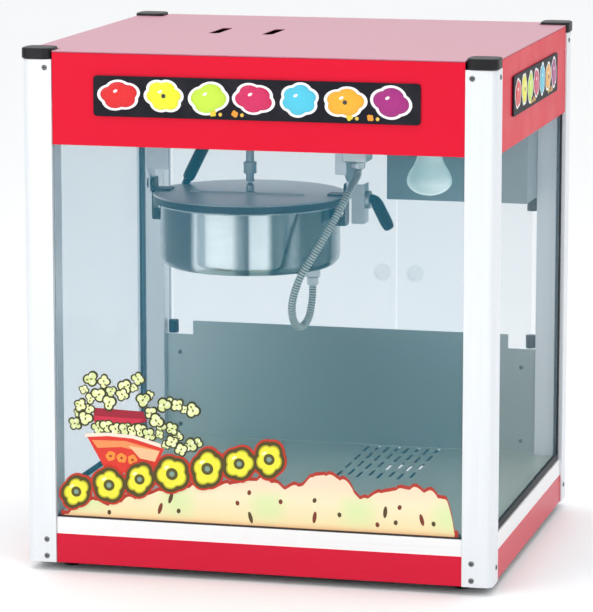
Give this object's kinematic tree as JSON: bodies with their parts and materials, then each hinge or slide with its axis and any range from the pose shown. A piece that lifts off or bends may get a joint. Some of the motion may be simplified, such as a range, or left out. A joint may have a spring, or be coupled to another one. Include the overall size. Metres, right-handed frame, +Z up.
{
  "type": "popcorn machine",
  "caption": "Table-top popcorn cabinet: framed glass case with red header and base, a tilting lidded kettle hung from its ceiling, a heat lamp, rear doors and a crumb drawer",
  "frame": {"origin": "centre of the bounding box's bottom, on the surface it stands on", "axes": "+X to the right as seen from the front, +Y to the rear where the doors are, +Z up; the front glass faces -Y"},
  "size_m": [0.563, 0.503, 0.62],
  "materials": {
    "post_aluminium": "satin anodised",
    "black_plastic": "moulded",
    "foot_rubber": "matt",
    "red_paint": "gloss powder coat; the rail above the base band is plain metal",
    "roof_paint": "gloss powder coat",
    "stainless": "brushed",
    "zinc_steel": "zinc plated",
    "lead_armour": "ribbed flexible conduit",
    "grey_paint": "satin",
    "tempered_glass": "clear",
    "clear_plastic": "clear sheet",
    "sign_panel": "printed panel",
    "frosted_glass": "frosted",
    "socket_plastic": "moulded"
  },
  "bodies": {
    "cabinet": {"post_front_left": "post_aluminium", "post_front_right": "post_aluminium", "post_rear_left": "post_aluminium", "post_rear_right": "post_aluminium", "post_cap_front_left": "black_plastic", "post_cap_front_right": "black_plastic", "post_cap_rear_left": "black_plastic", "post_cap_rear_right": "black_plastic", "power_inlet": "black_plastic", "foot_front_left": "foot_rubber", "foot_front_right": "foot_rubber", "foot_rear_left": "foot_rubber", "foot_rear_right": "foot_rubber", "base_front": "red_paint", "base_left": "red_paint", "base_right": "red_paint", "base_rear": "red_paint", "header_front": "red_paint", "header_left": "red_paint", "header_right": "red_paint", "header_rear": "red_paint", "roof_sheet": "roof_paint", "rear_apron": "stainless", "floor_tray": "stainless", "ceiling_plate": "stainless", "base_plate": "stainless", "hanger_left": "zinc_steel", "hanger_right": "zinc_steel", "lead_connector": "zinc_steel", "kettle_lead": "lead_armour", "gear_motor": "grey_paint", "control_box": "grey_paint", "glass_front": "tempered_glass", "glass_left": "tempered_glass", "glass_right": "tempered_glass", "sign_front": "sign_panel", "sign_right": "sign_panel", "lamp_bulb": "frosted_glass", "lamp_socket": "socket_plastic"},
    "kettle": {"pot": "stainless", "kettle_jacket": "stainless", "heater_element": "grey_paint", "kettle_gland": "stainless", "trunnion_left": "stainless", "trunnion_right": "stainless", "tilt_grip": "black_plastic", "lid_crossbar": "stainless", "lid_rear": "stainless", "lid_handle": "black_plastic"},
    "stirrer": {"stirrer": "stainless"},
    "drive": {"drive_shaft": "zinc_steel"},
    "lid_front": {"lid_front": "stainless"},
    "door_left": {"door_left": "clear_plastic", "door_knob_left": "clear_plastic"},
    "door_right": {"door_right": "clear_plastic", "door_knob_right": "clear_plastic"},
    "drawer": {"crumb_drawer": "stainless"},
    "switch_heat": {"switch_heat": "black_plastic"},
    "switch_stir": {"switch_stir": "black_plastic"},
    "switch_lamp": {"switch_lamp": "black_plastic"}
  },
  "joints": [
    {"name": "kettle_tilt", "type": "hinge", "parent": "cabinet", "child": "kettle", "pos_m": [-0.072, 0, 0.432], "axis": [1, 0, 0], "range_deg": [0, 80], "deforming": ["kettle_lead"]},
    {"name": "lid_front_lift", "type": "hinge", "parent": "kettle", "child": "lid_front", "pos_m": [-0.072, -0.0138, 0.4245], "axis": [-1, 0, 0], "range_deg": [0, 60]},
    {"name": "stirrer_spin", "type": "hinge", "parent": "kettle", "child": "stirrer", "pos_m": [-0.072, 0, 0.3535], "axis": [0, 0, 1], "continuous": true},
    {"name": "drive_spin", "type": "hinge", "parent": "cabinet", "child": "drive", "pos_m": [-0.072, 0, 0.5], "axis": [0, 0, 1], "continuous": true},
    {"name": "door_left_swing", "type": "hinge", "parent": "cabinet", "child": "door_left", "pos_m": [-0.2355, 0.2295, 0.2], "axis": [0, 0, 1], "range_deg": [0, 100]},
    {"name": "door_right_swing", "type": "hinge", "parent": "cabinet", "child": "door_right", "pos_m": [0.2355, 0.2295, 0.2], "axis": [0, 0, -1], "range_deg": [0, 100]},
    {"name": "drawer_slide", "type": "slide", "parent": "cabinet", "child": "drawer", "axis": [0, 1, 0], "range_m": [0, 0.2]},
    {"name": "switch_heat_rock", "type": "hinge", "parent": "cabinet", "child": "switch_heat", "pos_m": [0.1, 0.23525, 0.478], "axis": [-1, 0, 0], "range_deg": [0, 20]},
    {"name": "switch_stir_rock", "type": "hinge", "parent": "cabinet", "child": "switch_stir", "pos_m": [0.13, 0.23525, 0.478], "axis": [-1, 0, 0], "range_deg": [0, 20]},
    {"name": "switch_lamp_rock", "type": "hinge", "parent": "cabinet", "child": "switch_lamp", "pos_m": [0.16, 0.23525, 0.478], "axis": [-1, 0, 0], "range_deg": [0, 20]}
  ],
  "couplings": [
    {"joint": "drive_spin", "follows": "stirrer_spin", "ratio": 1}
  ]
}
